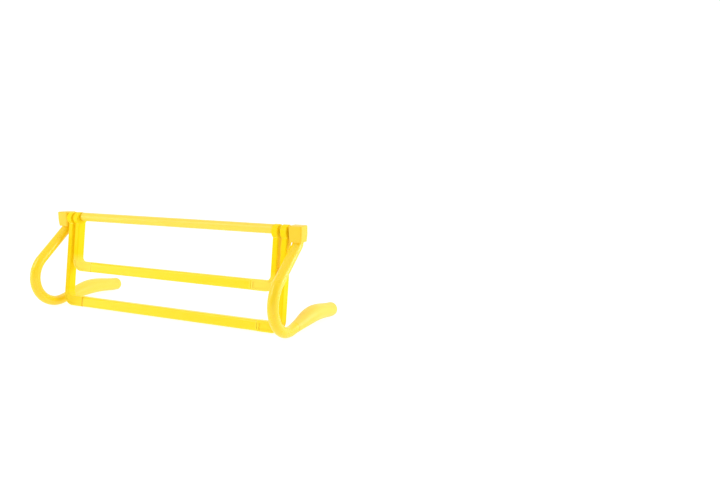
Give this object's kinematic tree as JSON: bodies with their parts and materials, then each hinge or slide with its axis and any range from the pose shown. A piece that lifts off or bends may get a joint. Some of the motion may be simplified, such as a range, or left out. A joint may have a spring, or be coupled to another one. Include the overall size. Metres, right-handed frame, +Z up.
{
  "type": "speed hurdle",
  "caption": "Low free-standing training hurdle: a crossbar on hooked tube legs, with a large and a small hinged frame that hang below it or swing up to raise its height.",
  "frame": {"origin": "on the floor, at the middle of the part left to right and front to back", "axes": "+X along the crossbar to the right as seen from the front, +Y to the back where the feet point, +Z up"},
  "size_m": [0.4662, 0.1809, 0.1528],
  "materials": {
    "yellow_tube": "smooth extruded tube, soft gloss",
    "yellow_moulding": "injection moulded, satin",
    "yellow_foot": "softer moulded sleeve, matt",
    "washer_plastic": "plain",
    "screw_steel": "zinc plated"
  },
  "bodies": {
    "base": {"crossbar": "yellow_tube", "left_pivot_pin": "yellow_moulding", "right_pivot_pin": "yellow_moulding", "left_thrust_washer": "washer_plastic", "right_thrust_washer": "washer_plastic", "left_end_block": "yellow_moulding", "right_end_block": "yellow_moulding", "left_leg": "yellow_moulding", "right_leg": "yellow_moulding", "left_foot": "yellow_foot", "right_foot": "yellow_foot", "leg_screws": "screw_steel", "pin_screws": "screw_steel", "crossbar_screws": "screw_steel"},
    "large_frame": {"large_left_arm": "yellow_moulding", "large_right_arm": "yellow_moulding", "large_rail": "yellow_tube", "large_rail_screws": "screw_steel"},
    "small_frame": {"small_left_arm": "yellow_moulding", "small_right_arm": "yellow_moulding", "small_rail": "yellow_tube", "small_rail_screws": "screw_steel"}
  },
  "joints": [
    {"name": "large_hinge", "type": "hinge", "parent": "base", "child": "large_frame", "pos_m": [0, -0.01354, 0.145], "axis": [-1, 0, 0], "range_deg": [0, 180]},
    {"name": "small_hinge", "type": "hinge", "parent": "base", "child": "small_frame", "pos_m": [0, -0.01354, 0.145], "axis": [-1, 0, 0], "range_deg": [0, 180]}
  ]
}
